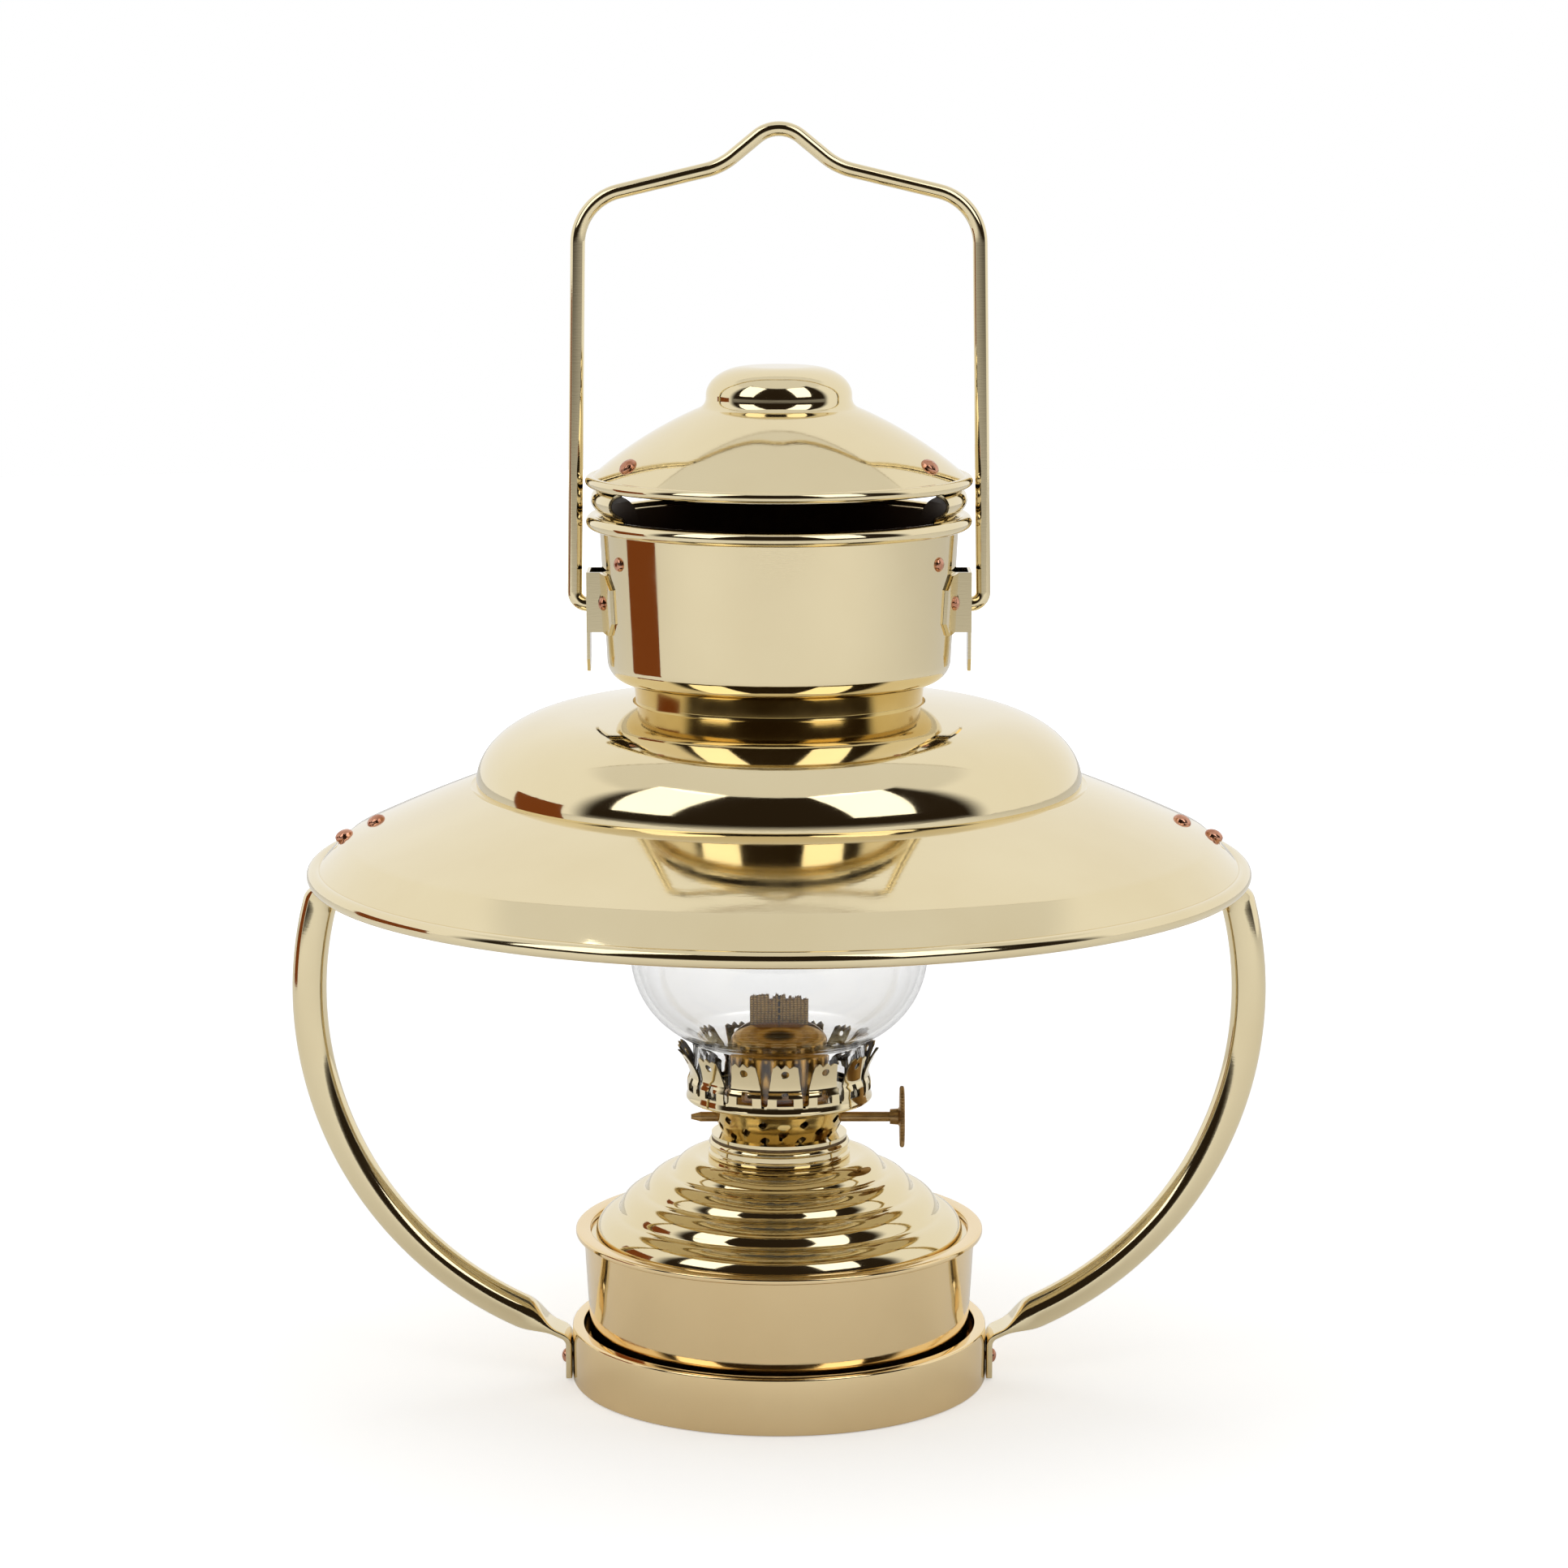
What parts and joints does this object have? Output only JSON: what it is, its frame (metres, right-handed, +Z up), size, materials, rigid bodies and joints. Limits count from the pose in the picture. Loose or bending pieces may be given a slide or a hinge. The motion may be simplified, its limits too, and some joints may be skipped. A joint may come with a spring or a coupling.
{
  "type": "trawler lamp",
  "caption": "Brass trawler oil lamp with a wide spun shade, vented hood, bowed tube arms, lift-out ribbed tank, flat-wick burner, glass chimney and swinging wire bail.",
  "frame": {"origin": "on the ground at the centre of the base ring", "axes": "+Z up along the lamp axis; X runs across the two arms with the thumb wheel on +X; -Y is the side that the picture shows"},
  "size_m": [0.2986, 0.287, 0.3855],
  "materials": {
    "brass": "polished",
    "copper": "hammered copper",
    "rim_steel": "drawn wire",
    "seal": "matte",
    "wick": "woven cotton",
    "glass": "clear"
  },
  "bodies": {
    "frame": {"base_ring": "brass", "left_arm": "brass", "right_arm": "brass", "arm_base_rivets": "copper", "shade": "brass", "shade_rim_wire": "rim_steel", "shade_rivets": "copper", "neck_collar": "brass", "drum": "brass", "drum_rivets": "copper", "hood_support_left": "brass", "hood_support_right": "brass", "hood": "brass", "hood_rivets": "copper", "bail_bracket_left": "brass", "bail_bracket_right": "brass", "bracket_rivets": "copper"},
    "bail": {"bail": "brass"},
    "tank": {"tank_body": "brass", "tank_dome": "brass", "tank_collar": "brass"},
    "seal": {"burner_seal": "seal"},
    "burner": {"burner_base": "brass", "burner_basket": "brass", "chimney_gallery": "brass", "flame_dome": "brass", "wick_tube": "brass"},
    "wick_wheel": {"wick_shaft": "brass", "wick_sprockets": "brass", "wick_knob": "brass"},
    "wick": {"wick": "wick"},
    "chimney": {"chimney": "glass"}
  },
  "joints": [
    {"name": "bail_swing", "type": "hinge", "parent": "frame", "child": "bail", "pos_m": [0, 0, 0.24117], "axis": [1, 0, 0], "range_deg": [-115, 115]},
    {"name": "tank_lift", "type": "slide", "parent": "frame", "child": "tank", "axis": [0, 0, 1], "range_m": [0, 0.02]},
    {"name": "burner_rise", "type": "slide", "parent": "tank", "child": "seal", "axis": [0, 0, 1], "range_m": [0, 0.0045]},
    {"name": "burner_unscrew", "type": "hinge", "parent": "seal", "child": "burner", "pos_m": [0, 0, 0.0766], "axis": [0, 0, 1], "range_deg": [0, 1080]},
    {"name": "knob_turn", "type": "hinge", "parent": "burner", "child": "wick_wheel", "pos_m": [0, -0.0055, 0.08345], "axis": [1, 0, 0], "range_deg": [-124, 62]},
    {"name": "wick_slide", "type": "slide", "parent": "burner", "child": "wick", "axis": [0, 0, 1], "range_m": [-0.008, 0.004]},
    {"name": "chimney_lift", "type": "slide", "parent": "burner", "child": "chimney", "axis": [0, 0, 1], "range_m": [0, 0.015]}
  ],
  "couplings": [
    {"joint": "burner_unscrew", "follows": "burner_rise", "rad_per_m": 4188.7},
    {"joint": "knob_turn", "follows": "wick_slide", "rad_per_m": 270.27}
  ]
}
